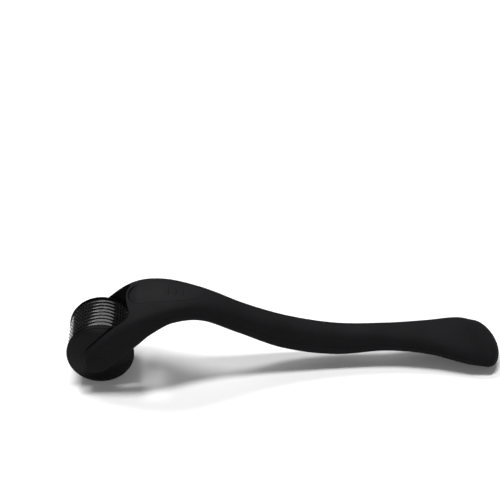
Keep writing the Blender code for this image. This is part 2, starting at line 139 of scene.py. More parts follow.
class Section:
    """The handle's cross-section at a length u along the spine."""

    def __init__(self, u):
        self.u = u
        v, run = self.values(min(max(u, 0.0), SPINE_LENGTH))
        if u < 0:
            shrink = math.sqrt(max(1 - (u / LOBE_R) ** 2, 0.0))
            v[0] += HEADING.x * u
            v[1] += HEADING.y * u
            v[2] *= shrink
            v[3] *= shrink
            v[4] -= LOBE_EDGE * (1 - shrink)
        elif u > SPINE_LENGTH:
            beyond = (u - SPINE_LENGTH) / (TAIL_TIP_X - SPINE[-1][0])
            shrink = math.sqrt(max(1 - beyond ** 2, 0.0))
            v[0] += u - SPINE_LENGTH
            v[1] += (u - SPINE_LENGTH) * CHORDS[-1][1] / CHORDS[-1][0]
            v[2] *= shrink ** TAIL_POWER
            v[3] *= shrink ** TAIL_POWER
            v[4] *= shrink
        self.x, self.z, self.rise, self.depth, self.width = v[:5]
        self.top_power, self.bottom_power, self.crown = v[5:]
        length = math.hypot(*run)
        self.normal = Vector((-run[1] / length, 0, run[0] / length))

    @staticmethod
    def values(u):
        """Smooth values of SPINE at u, and the spine's direction there."""
        k = 0
        while k < len(SPANS) - 1 and u > KNOTS[k + 1]:
            k += 1
        span = SPANS[k]
        t = (u - KNOTS[k]) / span
        v = []
        run = []
        for i, (a, b, sa, sb) in enumerate(zip(SPINE[k], SPINE[k + 1], SLOPES[k], SLOPES[k + 1])):
            v.append(
                (2 * t ** 3 - 3 * t ** 2 + 1) * a + (t ** 3 - 2 * t ** 2 + t) * span * sa
                + (3 * t ** 2 - 2 * t ** 3) * b + (t ** 3 - t ** 2) * span * sb
            )
            if i < 2:
                run.append(
                    (6 * t ** 2 - 6 * t) * (a - b) / span + (3 * t ** 2 - 4 * t + 1) * sa
                    + (3 * t ** 2 - 2 * t) * sb
                )
        return v, run

    def point(self, y, height):
        """Row-frame point, in metres, at lateral y and height above the spine."""
        p = Vector((self.x, y, self.z)) + self.normal * height
        return Vector((AXLE.x, 0, 0)) + p * MM

    def top(self, y):
        share = min(abs(y) / self.width, 1.0)
        crown = self.crown * (1 - min(abs(y) / CROWN_HALF_W, 1.0) ** 2) ** 2
        return self.rise * (1 - share ** self.top_power) ** (1 / self.top_power) + crown

    def bottom(self, y):
        share = min(abs(y) / self.width, 1.0)
        return -self.depth * (1 - share ** self.bottom_power) ** (1 / self.bottom_power)

    def parting(self):
        """Height of the line where the covers meet."""
        t = (PART_LEVEL_X - self.x) / (PART_LEVEL_X - PART_FRONT_X)
        t = min(max(t, 0.0), 1.0)
        return self.rise * PART_TOP * t * t * (3 - 2 * t)

    def rim(self):
        """Rounding of the inner edges here, smaller towards the tip of an arm."""
        return min(RIM_R, RIM_SHARE * self.rise)

    def lip_size(self):
        """Rounding of a cover's edge at the seam here."""
        return min(LIP_R, LIP_SHARE * self.rise)

    def side_start(self):
        """Lateral place where the side strip starts."""
        if self.u <= CORNER_U:
            return ARM_Y + self.rim()
        if self.u >= REGULAR_U:
            return SIDE_SHARE * self.width
        t = (self.u - CORNER_U) / (REGULAR_U - CORNER_U)
        last = SIDE_SHARE * Section(REGULAR_U).width
        return ARM_Y + RIM_R + (last - ARM_Y - RIM_R) * t

    def closing_start(self):
        """Lateral place where the parting face's side strip starts."""
        if self.u <= CORNER_U:
            return ARM_Y
        if self.u >= REGULAR_U:
            return self.side_start()
        t = (self.u - CORNER_U) / (REGULAR_U - CORNER_U)
        return ARM_Y + (SIDE_SHARE * Section(REGULAR_U).width - ARM_Y) * t

    def side_line(self):
        """Dense outline of the side, from the top round to the bottom, with its lengths."""
        start = self.side_start()
        line = [(start, self.top(start))]
        for k in range(1, SIDE_SAMPLES):
            angle = math.pi / 2 - math.pi * k / SIDE_SAMPLES
            c, s = math.cos(angle), math.sin(angle)
            power = self.top_power if s > 0 else self.bottom_power
            reach = (abs(c) ** power + abs(s) ** power) ** (-1 / power)
            y = self.width * reach * c
            if y > start:
                line.append((y, (self.rise if s > 0 else self.depth) * reach * s))
        line.append((start, self.bottom(start)))
        lengths = [0.0]
        for p, q in zip(line, line[1:]):
            lengths.append(lengths[-1] + math.dist(p, q))
        return line, lengths

    def side(self, gap):
        """Side strip in three parts: above the seam, the seam's corner, and below it.

        A positive gap serves the upper cover and a negative one the lower.
        """
        line, lengths = self.side_line()
        seam_h = self.parting() + gap

        def at(length):
            k = 1
            while k < len(lengths) - 1 and lengths[k] < length:
                k += 1
            t = (length - lengths[k - 1]) / max(lengths[k] - lengths[k - 1], 1e-9)
            return tuple(p + (q - p) * t for p, q in zip(line[k - 1], line[k]))

        k = 1
        while line[k][1] > seam_h:
            k += 1
        t = (line[k - 1][1] - seam_h) / (line[k - 1][1] - line[k][1])
        seam = lengths[k - 1] + (lengths[k] - lengths[k - 1]) * t
        lip = self.lip_size()
        total = lengths[-1]
        above = [at((seam - lip) * k / STRIP_UPPER) for k in range(STRIP_UPPER + 1)]
        below = [
            at(seam + lip + (total - seam - lip) * k / STRIP_LOWER)
            for k in range(STRIP_LOWER + 1)
        ]
        return above, at(seam), below

    def lip(self, start, corner):
        """Rounded edge from a point on the side, past the seam's corner, to the parting face."""
        end = (corner[0] - self.lip_size(), corner[1])
        points = []
        for k in range(1, LIP_STEPS + 1):
            t = k / LIP_STEPS
            points.append(tuple(
                (1 - t) ** 2 * a + 2 * t * (1 - t) * b + t * t * c
                for a, b, c in zip(start, corner, end)
            ))
        return points

    def rim_line(self, top):
        """Rounded inner edge of an arm, from the top or bottom face to the wall."""
        r = self.rim()
        points = []
        for k in range(RIM_STEPS, -1, -1):
            angle = math.pi / 2 * k / RIM_STEPS
            y = ARM_Y + r * (1 - math.cos(angle))
            drop = r * (1 - math.sin(angle))
            points.append((y, self.top(y) - drop if top else self.bottom(y) + drop))
        return points


SPINE_TABLE = [SPINE_LENGTH * k / SPINE_SAMPLES for k in range(SPINE_SAMPLES + 1)]
SPINE_TABLE_X = [Section.values(u)[0][0] for u in SPINE_TABLE]


def u_at_x(x):
    """Length along the spine of the section whose centre is at x."""
    k = min(max(bisect.bisect(SPINE_TABLE_X, x), 1), len(SPINE_TABLE) - 1)
    a, b = SPINE_TABLE_X[k - 1], SPINE_TABLE_X[k]
    return SPINE_TABLE[k - 1] + (SPINE_TABLE[k] - SPINE_TABLE[k - 1]) * (x - a) / (b - a)


CORNER_U = u_at_x(HEADING.x * CORNER_A)
PART_U = u_at_x(PART_FRONT_X)


def along(point):
    """Distance of a row-frame point from the axle, measured along the arms, in mm."""
    return ((point.x - AXLE.x) * HEADING.x + (point.z - AXLE.z) * HEADING.y) / MM


def face_height(section, y, face):
    if face == "top":
        return section.top(y)
    if face == "bottom":
        return section.bottom(y)
    return section.parting() + (SEAM_HALF if face == "upper_parting" else -SEAM_HALF)


def on_face(u, y, face):
    section = Section(u)
    return section.point(y, face_height(section, y, face))


def u_on_face(a, y, face):
    """Length u at which a face passes the distance a along the arms."""
    low, high = SEARCH_FROM_U, REGULAR_U
    for _ in range(HALVINGS):
        middle = (low + high) / 2
        if along(on_face(middle, y, face)) < a:
            low = middle
        else:
            high = middle
    return low


def throat_outline(face):
    """Points (a, y) of the fork's bottom and corners, with the direction into the material."""
    start = along(on_face(CORNER_U, ARM_Y + RIM_R / 2, face))
    depth, width = THROAT_A - start, ARM_Y - THROAT_Y
    outline = []
    for k in range(CORNER_STEPS + 1):
        angle = math.pi / 2 * k / CORNER_STEPS
        s, c = math.sin(angle), math.cos(angle)
        normal = Vector((s / depth, c / width)).normalized()
        outline.append((start + depth * s, THROAT_Y + width * c, normal))
    for k in range(1, THROAT_STEPS):
        outline.append((THROAT_A, THROAT_Y * (1 - 2 * k / THROAT_STEPS), Vector((1, 0))))
    for a, y, normal in outline[CORNER_STEPS::-1]:
        outline.append((a, -y, Vector((normal.x, -normal.y))))
    return outline


def shares_across():
    """Places of the patches' columns across the handle, from 0 on +Y to 1 on -Y."""
    outline = throat_outline("top")
    lengths = [0.0]
    for p, q in zip(outline, outline[1:]):
        lengths.append(lengths[-1] + math.dist(p[:2], q[:2]))
    return [length / lengths[-1] for length in lengths]


SHARES = shares_across()


def throat_edge(face):
    """Rows round the fork's bottom, from the face's rounded edge to the wall, one per column.

    Each column is (lengths and laterals of the edge on the face, points down to the wall).
    """
    up = Vector((-HEADING.y, 0, HEADING.x)) * MM
    columns = []
    for j, (a, y, normal) in enumerate(throat_outline(face)):
        if j in (0, len(SHARES) - 1):
            section = Section(CORNER_U)
            side = 1 if j == 0 else -1
            if face in ("top", "bottom"):
                line = section.rim_line(face == "top")
                points = [section.point(side * p, h) for p, h in line]
                columns.append(((CORNER_U, side * line[0][0]), points))
            else:
                point = on_face(CORNER_U, side * ARM_Y, face)
                columns.append(((CORNER_U, side * ARM_Y), [point]))
            continue
        if face not in ("top", "bottom"):
            u = u_on_face(a, y, face)
            columns.append(((u, y), [on_face(u, y, face)]))
            continue
        points = []
        for k in range(RIM_STEPS, -1, -1):
            angle = math.pi / 2 * k / RIM_STEPS
            offset = RIM_R * (1 - math.cos(angle))
            drop = RIM_R * (1 - math.sin(angle)) * (1 if face == "top" else -1)
            pa, py = a + normal.x * offset, y + normal.y * offset
            u = u_on_face(pa, py, face)
            points.append(on_face(u, py, face) - up * drop)
            if k == RIM_STEPS:
                edge = (u, py)
        columns.append((edge, points))
    return columns


def patch(face, columns):
    """Face between the fork's bottom and the first plain ring, row by row."""
    last = Section(REGULAR_U).side_start()
    rows = []
    for i in range(PATCH_ROWS + 1):
        t = i / PATCH_ROWS
        row = []
        for share, ((u, y), points) in zip(SHARES, columns):
            if i == 0:
                row.append(points[0])
                continue
            end_y = last * (1 - 2 * share)
            row.append(on_face(u + (REGULAR_U - u) * t, y + (end_y - y) * t, face))
        rows.append(row)
    return rows


def ring_row(section, face):
    """A face's points across a plain ring."""
    start = section.side_start()
    return [
        section.point(start * (1 - 2 * share), face_height(section, start * (1 - 2 * share), face))
        for share in SHARES
    ]


def lerp_points(a, b, steps):
    return [a.lerp(b, k / steps) for k in range(1, steps + 1)]


def handle_lengths():
    """Lengths u of all sections: lobe, arms, patch rows, rings and tail."""
    lobe = [-LOBE_R * math.sin(END_ANGLE * k / LOBE_STEPS) for k in range(LOBE_STEPS, 0, -1)]
    arms = [PART_U * k / ARM_STEPS for k in range(ARM_STEPS + 1)]
    prongs = [
        PART_U + (CORNER_U - PART_U) * k / PRONG_STEPS for k in range(1, PRONG_STEPS + 1)
    ]
    patches = [
        CORNER_U + (REGULAR_U - CORNER_U) * k / PATCH_ROWS for k in range(1, PATCH_ROWS + 1)
    ]
    rings = [
        REGULAR_U + (SPINE_LENGTH - REGULAR_U) * k / RING_COUNT for k in range(1, RING_COUNT + 1)
    ]
    reach = TAIL_TIP_X - SPINE[-1][0]
    tail = [
        SPINE_LENGTH + reach * math.sin(END_ANGLE * k / TAIL_STEPS)
        for k in range(1, TAIL_STEPS + 1)
    ]
    return lobe + arms + prongs + patches + rings + tail


WELD = 0.002                      # points nearer than this are one point
SHARP_EDGE = 40.0                 # edges above this angle stay sharp, degrees
SHARP_PAD = 50.0
SHARP_TURNED = 35.0
SHARP_NEEDLE = 25.0


class Surface:
    """Collects patches of points and welds them into one closed mesh."""

    def __init__(self):
        self.bm = bmesh.new()

    def grid(self, rows):
        verts = [[self.bm.verts.new(p) for p in row] for row in rows]
        for a, b in zip(verts, verts[1:]):
            for i in range(len(a) - 1):
                self.bm.faces.new((a[i], a[i + 1], b[i + 1], b[i]))

    def polygon(self, points):
        self.bm.faces.new([self.bm.verts.new(p) for p in points])

    def finish(self, name, sharp=SHARP_EDGE):
        bmesh.ops.remove_doubles(self.bm, verts=self.bm.verts, dist=WELD * MM)
        return finish_mesh(name, self.bm, sharp)


def finish_mesh(name, bm, sharp=SHARP_EDGE):
    bmesh.ops.recalc_face_normals(bm, faces=bm.faces)
    mesh = bpy.data.meshes.new(name)
    bm.to_mesh(mesh)
    bm.free()
    mesh.shade_smooth()
    mesh.set_sharp_from_angle(angle=math.radians(sharp))
    obj = bpy.data.objects.new(name, mesh)
    bpy.context.collection.objects.link(obj)
    return obj


FIRST_STEP = 0.2                  # least distance of the upper cover's second section


def upper_cover():
    """Upper half of the handle, from the front of its prongs to the tail."""
    surface = Surface()
    start = PART_U + 2 * SEAM_HALF
    lengths = [start] + [u for u in handle_lengths() if u > PART_U + FIRST_STEP]
    sections = [Section(u) for u in lengths]
    for side in (1, -1):
        strip, closing, inner = [], [], []
        for section in sections:
            above, corner, _ = section.side(SEAM_HALF)
            line = above + section.lip(above[-1], corner)
            strip.append([section.point(side * y, h) for y, h in line])
            level = section.parting() + SEAM_HALF
            closing.append([strip[-1][-1], section.point(side * section.closing_start(), level)])
            if section.u <= CORNER_U + TINY:
                rim = [section.point(side * y, h) for y, h in section.rim_line(True)]
                inner.append(rim + lerp_points(rim[-1], closing[-1][1], WALL_STEPS))
        surface.grid(strip)
        surface.grid(closing)
        surface.grid(inner)
        surface.polygon(strip[0] + inner[0][:0:-1])
    top, closing = throat_edge("top"), throat_edge("upper_parting")
    surface.grid([
        points + lerp_points(points[-1], low[0], WALL_STEPS)
        for (_, points), (_, low) in zip(top, closing)
    ])
    rings = [section for section in sections if section.u >= REGULAR_U - TINY]
    for face, columns in (("top", top), ("upper_parting", closing)):
        surface.grid(patch(face, columns))
        surface.grid([ring_row(section, face) for section in rings])
    last = rings[-1]
    above, corner, _ = last.side(SEAM_HALF)
    line = above + last.lip(above[-1], corner)
    right = [last.point(y, h) for y, h in line]
    left = [last.point(-y, h) for y, h in line]
    surface.polygon(
        right + ring_row(last, "upper_parting") + left[::-1] + ring_row(last, "top")[-2:0:-1]
    )
    return surface.finish("upper_cover")


def lower_cover():
    """Lower half of the handle with the whole of the arms."""
    surface = Surface()
    sections = [Section(u) for u in handle_lengths()]
    for side in (1, -1):
        arm, arm_inner, strip, closing, inner = [], [], [], [], []
        for section in sections:
            above, corner, below = section.side(-SEAM_HALF)
            level = section.parting() - SEAM_HALF
            wall = section.point(side * section.closing_start(), level)
            curl = section.lip(below[0], corner)[::-1]
            low_rim = []
            if section.u <= CORNER_U + TINY:
                rim = [section.point(side * y, h) for y, h in section.rim_line(False)][::-1]
                low_rim = [wall] + lerp_points(wall, rim[0], WALL_STEPS) + rim[1:]
                inner.append(low_rim)
            if section.u <= PART_U + TINY:
                arm.append([section.point(side * y, h) for y, h in [*above, corner, *below]])
                rim = [section.point(side * y, h) for y, h in section.rim_line(True)]
                arm_inner.append(rim + lerp_points(rim[-1], wall, WALL_STEPS))
            if section.u >= PART_U - TINY:
                strip.append([section.point(side * y, h) for y, h in [*curl, *below]])
                closing.append([wall, strip[-1][0]])
        surface.grid(arm)
        surface.grid(arm_inner)
        surface.grid(strip)
        surface.grid(closing)
        surface.grid(inner)
        step_lip = strip[0][:LIP_STEPS + 1][::-1]
        surface.polygon(arm[-1][:STRIP_UPPER + 2] + step_lip + arm_inner[-1][:0:-1])
        surface.polygon(arm[0] + inner[0][-2::-1] + arm_inner[0][-2:0:-1])
    bottom, closing = throat_edge("bottom"), throat_edge("lower_parting")
    surface.grid([
        points + lerp_points(points[-1], high[0], WALL_STEPS)
        for (_, points), (_, high) in zip(bottom, closing)
    ])
    rings = [section for section in sections if section.u >= REGULAR_U - TINY]
    for face, columns in (("bottom", bottom), ("lower_parting", closing)):
        surface.grid(patch(face, columns))
        surface.grid([ring_row(section, face) for section in rings])
    last = rings[-1]
    _, corner, below = last.side(-SEAM_HALF)
    line = [*last.lip(below[0], corner)[::-1], *below]
    right = [last.point(y, h) for y, h in line]
    left = [last.point(-y, h) for y, h in line]
    surface.polygon(
        right + ring_row(last, "bottom")[1:-1] + left[::-1] + ring_row(last, "lower_parting")[::-1]
    )
    return surface.finish("lower_cover")


# Thumb pad -------------------------------------------------------------------------------

PAD_FRONT_X = 12.25
PAD_CREASE_X = 14.2
PAD_WIDEST_X = 18.0
PAD_REAR_X = 31.3
PAD_HALF_W = 6.1
PAD_CENTRE_X = 20.0
PAD_FRONT_POWER = 5.5             # squareness of its outline at the front and at the rear
PAD_REAR_POWER = 1.9
PAD_ROUND_POWER = 2.2
PAD_FALL = 0.7                    # how far the front facet falls away
PAD_CREASE = 0.02                 # softness of the crease behind it
PAD_DEPTH = 0.85                  # its underside, below the arch
PAD_PROUD = 0.05                  # its face, above the arch
PAD_EDGE = 0.09                   # rounding of the pad's edge
PAD_CLEAR = 0.02                  # gap to the cover all round
PAD_SEGMENTS = 128
PAD_SAMPLES = 600                 # samples of half its outline
PAD_EDGE_STEPS = 4
PAD_RINGS = 30
POCKET_HEIGHTS = (-0.9, 1.5)      # floor of its pocket, and the cutter's top
RIB_X = (21.4, 23.4, 25.4)
RIB_LENGTH = 5.0
RIB_WIDTH = 0.8
RIB_PROUD = 0.16
RIB_ROOT = 0.1                    # how far a rib reaches into the pad
RIB_STATIONS = 22
RIB_ARC_STEPS = 12
RIB_END_POWER = 0.35              # squareness of its ends
RIB_TIP = 0.02                    # size of its end faces, as a share of its section


def section_at_x(x):
    return Section(u_at_x(x))


def pad_half_width(x, clear):
    if x < PAD_WIDEST_X:
        share = (PAD_WIDEST_X - x) / (PAD_WIDEST_X - PAD_FRONT_X + clear)
        power = PAD_FRONT_POWER
    else:
        share = (x - PAD_WIDEST_X) / (PAD_REAR_X - PAD_WIDEST_X + clear)
        power = PAD_REAR_POWER
    return (PAD_HALF_W + clear) * max(1 - share ** power, 0.0) ** (1 / PAD_ROUND_POWER)


def pad_outline(clear):
    """Points (x, y) evenly spaced round the pad."""
    front, rear = PAD_FRONT_X - clear, PAD_REAR_X + clear
    half = []
    for k in range(PAD_SAMPLES + 1):
        x = front + (rear - front) * (1 - math.cos(math.pi * k / PAD_SAMPLES)) / 2
        half.append((x, pad_half_width(x, clear)))
    half[0], half[-1] = (front, 0.0), (rear, 0.0)
    line = half + [(x, -y) for x, y in half[-2:0:-1]]
    lengths = [0.0]
    for p, q in zip(line, line[1:] + line[:1]):
        lengths.append(lengths[-1] + math.dist(p, q))
    points = []
    k = 0
    for i in range(PAD_SEGMENTS):
        target = lengths[-1] * i / PAD_SEGMENTS
        while lengths[k + 1] < target:
            k += 1
        p, q = line[k], line[(k + 1) % len(line)]
        t = (target - lengths[k]) / (lengths[k + 1] - lengths[k])
        points.append(Vector((p[0] + (q[0] - p[0]) * t, p[1] + (q[1] - p[1]) * t)))
    return points


def inset(outline, distance):
    """The outline moved inwards by a distance."""
    points = []
    for i, p in enumerate(outline):
        run = outline[(i + 1) % len(outline)] - outline[i - 1]
        inward = Vector((run.y, -run.x)).normalized()
        points.append(p + inward * distance)
    return points


def pad_point(p, extra):
    """Point of the arch's surface at (x, y), raised by extra."""
    section = section_at_x(p.x)
    return section.point(p.y, section.top(p.y) + extra)


def pad_fall(x):
    """Drop of the front facet, which meets the pad at a softened crease."""
    slope = PAD_FALL / (PAD_CREASE_X - PAD_FRONT_X)
    past = PAD_CREASE_X - x
    return slope * (past + math.sqrt(past * past + PAD_CREASE)) / 2


def thumb_pad():
    """Pad in the arch, with a rounded edge and a facet that falls away at the front."""
    surface = Surface()
    outline = pad_outline(0.0)
    centre = Vector((PAD_CENTRE_X, 0.0))
    rows = [[pad_point(p, -PAD_DEPTH) for p in outline]]
    rows.append([pad_point(p, PAD_PROUD - PAD_EDGE - pad_fall(p.x)) for p in outline])
    for k in range(1, PAD_EDGE_STEPS + 1):
        angle = math.pi / 2 * k / PAD_EDGE_STEPS
        distance = PAD_EDGE * (1 - math.cos(angle))
        drop = PAD_EDGE * (1 - math.sin(angle))
        line = inset(outline, distance)
        rows.append([pad_point(p, PAD_PROUD - drop - pad_fall(p.x)) for p in line])
    for k in range(1, PAD_RINGS):
        line = [centre + (p - centre) * (1 - k / PAD_RINGS) for p in inset(outline, PAD_EDGE)]
        rows.append([pad_point(p, PAD_PROUD - pad_fall(p.x)) for p in line])
    surface.grid([row + row[:1] for row in rows])
    surface.polygon(rows[0])
    surface.polygon(rows[-1])
    return surface.finish("thumb_pad", SHARP_PAD)


def pad_pocket():
    """Cutter for the pad's pocket in the upper cover."""
    surface = Surface()
    outline = pad_outline(PAD_CLEAR)
    rows = [[pad_point(p, height) for p in outline] for height in POCKET_HEIGHTS]
    surface.grid([row + row[:1] for row in rows])
    surface.polygon(rows[0])
    surface.polygon(rows[1])
    return surface.finish("pad_pocket")


def pad_rib(k, x):
    """Raised bar across the pad, with rounded sides and ends."""
    surface = Surface()
    rows = []
    for i in range(RIB_STATIONS + 1):
        angle = math.pi * i / RIB_STATIONS
        y = -RIB_LENGTH / 2 * math.cos(angle)
        size = math.sin(angle) ** RIB_END_POWER if 0 < i < RIB_STATIONS else RIB_TIP
        row = []
        for j in range(RIB_ARC_STEPS + 1):
            turn = math.pi * j / RIB_ARC_STEPS
            px = x + RIB_WIDTH / 2 * size * math.cos(turn)
            row.append(pad_point(Vector((px, y)), PAD_PROUD + RIB_PROUD * size * math.sin(turn)))
        for edge in (-1, 1):
            foot = Vector((x + edge * RIB_WIDTH / 2 * size, y))
            row.append(pad_point(foot, PAD_PROUD - RIB_ROOT))
        rows.append(row)
    surface.grid([row + row[:1] for row in rows])
    surface.polygon(rows[0])
    surface.polygon(rows[-1])
    return surface.finish(f"pad_rib_{k + 1}", SHARP_PAD)


# Turned pieces ---------------------------------------------------------------------------

TURNED_SIDES = 144
ROUNDING_STEPS = 5

BORE_R = 1.35                     # bore of the turning pieces
SPIGOT_R = 4.0                    # spigot of an end disc
SPIGOT_Y = 6.1                    # its inner end
DISC_INNER_Y = 8.1                # inner face of an end disc
DISC_CLEAR = 0.004                # between its rim and the table
DISC_RIM = 0.28                   # rounding of its outer rim, and of its inner one
DISC_INNER_RIM = 0.10
DOME_R = 28.0                     # curvature of its face
DOME_TOP = 10.3
DOME_FROM_R = 9.3                 # points of the face inside its fine ring
DOME_POINTS = 21
DOME_STEP = 0.3
RING_FROM_R = 9.40                # the fine ring, and how deep it is
RING_TO_R = 9.60
RING_BEVEL = 0.06
RING_DEPTH = 0.07
HUB_R = 3.0
HUB_Y = 10.2

SPACER_R = 10.05
SPACER_BORE_R = 6.12
SPACER_RIM = 0.14

CAP_SIDES = 72
CAP_INNER_Y = 12.4
CAP_FACE_Y = 13.42
CAP_POINT_R = 0.02                # its profile stops just short of the axis
RECESS_INNER_Y = 9.0              # the cutter's ends, and its step, where the cap sits
RECESS_STEP_Y = 12.3
RECESS_OUTER_Y = 15.0
RECESS_R = 2.0
ARM_BORE_R = 1.32

NEEDLE_DISCS = 9
SPACERS = 8
NEEDLES = 60
NEEDLE_TIP_R = 10.38
NEEDLE_NECK_R = 10.12
NEEDLE_SHOULDER_R = 9.85
NEEDLE_ROOT_R = 9.6
NEEDLE_BORE_R = 6.15


def rounded_profile(corners, steps=ROUNDING_STEPS):
    """Closed profile of (radius, y) from corners (radius, y, rounding)."""
    profile = []
    for i, (r, y, size) in enumerate(corners):
        p = Vector((r, y))
        if size <= 0:
            profile.append(p)
            continue
        before = (Vector(corners[i - 1][:2]) - p).normalized() * size
        after = (Vector(corners[(i + 1) % len(corners)][:2]) - p).normalized() * size
        for k in range(steps + 1):
            t = k / steps
            profile.append(
                (p + before) * (1 - t) ** 2 + p * 2 * t * (1 - t) + (p + after) * t * t
            )
    return profile


def turned(name, profile, sides=TURNED_SIDES):
    """Ring turned about the axle's line from a closed profile of (radius, y), in mm."""
    bm = bmesh.new()
    rings = []
    for k in range(sides):
        angle = 2 * math.pi * k / sides
        c, s = math.cos(angle), math.sin(angle)
        rings.append([
            bm.verts.new(AXLE + Vector((c * p.x, p.y, s * p.x)) * MM) for p in profile
        ])
    for ring, following in zip(rings, rings[1:] + rings[:1]):
        for i in range(len(profile)):
            bm.faces.new((ring[i - 1], ring[i], following[i], following[i - 1]))
    return finish_mesh(name, bm, SHARP_TURNED)


def end_disc(name, side):
    """Closing disc: domed face with a fine ring near its rounded rim, and a low hub."""
    radius = AXLE.z / MM - DISC_CLEAR

    def face(r):
        return DOME_TOP - DOME_R + math.sqrt(DOME_R ** 2 - r ** 2)

    outer, inner = RING_TO_R - RING_BEVEL, RING_FROM_R + RING_BEVEL
    corners = [
        (BORE_R, SPIGOT_Y, 0.0), (SPIGOT_R, SPIGOT_Y, 0.2), (SPIGOT_R, DISC_INNER_Y, 0.0),
        (radius, DISC_INNER_Y, DISC_INNER_RIM), (radius, face(radius), DISC_RIM),
        (RING_TO_R, face(RING_TO_R), 0.05), (outer, face(outer) - RING_DEPTH, 0.04),
        (inner, face(inner) - RING_DEPTH, 0.04), (RING_FROM_R, face(RING_FROM_R), 0.05),
    ]
    for k in range(DOME_POINTS):
        r = DOME_FROM_R - DOME_STEP * k
        corners.append((r, face(r), 0.0))
    corners += [(HUB_R, HUB_Y, 0.06), (BORE_R, HUB_Y, 0.0)]
    profile = rounded_profile(corners, ROUNDING_STEPS + 1)
    return turned(name, [Vector((p.x, side * p.y)) for p in profile])


def spacer(name, node):
    """Gloss ring between two needle discs, with rounded rims."""
    low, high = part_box(node)
    centre, half = (low.y + high.y) / 2 / MM, (high.y - low.y) / 2 / MM
    corners = [
        (SPACER_BORE_R, centre - half, 0.0), (SPACER_R, centre - half, SPACER_RIM),
        (SPACER_R, centre + half, SPACER_RIM), (SPACER_BORE_R, centre + half, 0.0),
    ]
    return turned(name, rounded_profile(corners))


def axle_cap(name, side):
    """Cap on the axle's end, with a shallow ring round its face."""
    corners = [
        (CAP_POINT_R, CAP_INNER_Y, 0.0), (1.96, CAP_INNER_Y, 0.0),
        (1.97, CAP_FACE_Y - 0.02, 0.04), (1.40, CAP_FACE_Y, 0.02),
        (1.38, CAP_FACE_Y - 0.01, 0.01), (1.22, CAP_FACE_Y - 0.01, 0.01),
        (1.20, CAP_FACE_Y, 0.02), (CAP_POINT_R, CAP_FACE_Y + 0.03, 0.0),
    ]
    profile = rounded_profile(corners, ROUNDING_STEPS - 1)
    return turned(name, [Vector((p.x, side * p.y)) for p in profile], CAP_SIDES)


def arm_recess(side):
    """Cutter for the bore of an arm and the recess that its cap sits in."""
    stepped = (
        (ARM_BORE_R, RECESS_INNER_Y), (ARM_BORE_R, RECESS_STEP_Y), (RECESS_R, RECESS_STEP_Y),
        (RECESS_R, RECESS_OUTER_Y), (CAP_POINT_R, RECESS_OUTER_Y), (CAP_POINT_R, RECESS_INNER_Y),
    )
    return turned("recess", [Vector((r, side * y)) for r, y in stepped], CAP_SIDES)


def needle_disc(name, node):
    """Thin steel disc with fine needles, each with slightly hollow flanks."""
    low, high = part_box(node)
    centre = (low.y + high.y) / 2
    half = (high.y - low.y) / 2
    pitch = 2 * math.pi / NEEDLES
    # Share of the pitch, radius and share of the thickness along one needle
    shape = (
        (-0.50, NEEDLE_ROOT_R, 1.0), (-0.26, NEEDLE_ROOT_R, 1.0),
        (-0.12, NEEDLE_SHOULDER_R, 0.8), (-0.05, NEEDLE_NECK_R, 0.5),
        (0.0, NEEDLE_TIP_R, 0.16), (0.05, NEEDLE_NECK_R, 0.5),
        (0.12, NEEDLE_SHOULDER_R, 0.8), (0.26, NEEDLE_ROOT_R, 1.0),
    )
    outline = [
        (pitch * (k + share), radius, thick)
        for k in range(NEEDLES) for share, radius, thick in shape
    ]
    bore = [(angle, NEEDLE_BORE_R, 1.0) for angle, _, _ in outline]
    bm = bmesh.new()

    def loop(points, face):
        return [
            bm.verts.new(AXLE + Vector((
                radius * MM * math.cos(angle), centre - AXLE.y + face * half * thick,
                radius * MM * math.sin(angle),
            )))
            for angle, radius, thick in points
        ]

    faces = [(loop(outline, face), loop(bore, face)) for face in (-1, 1)]
    for a, b in [*faces, *zip(*faces)]:
        for i in range(len(a)):
            bm.faces.new((a[i - 1], a[i], b[i], b[i - 1]))
    return finish_mesh(name, bm, SHARP_NEEDLE)


def cut(obj, cutter):
    """Takes the cutter out of obj for good, and removes the cutter."""
    mod = obj.modifiers.new("cut", "BOOLEAN")
    mod.object = cutter
    mod.operation = "DIFFERENCE"
    mod.solver = "EXACT"
    graph = bpy.context.evaluated_depsgraph_get()
    mesh = bpy.data.meshes.new_from_object(obj.evaluated_get(graph))
    obj.modifiers.clear()
    old = obj.data
    obj.data = mesh
    mesh.shade_smooth()
    mesh.set_sharp_from_angle(angle=math.radians(SHARP_EDGE))
    bpy.data.meshes.remove(old)
    bpy.data.objects.remove(cutter)


# Materials -------------------------------------------------------------------------------


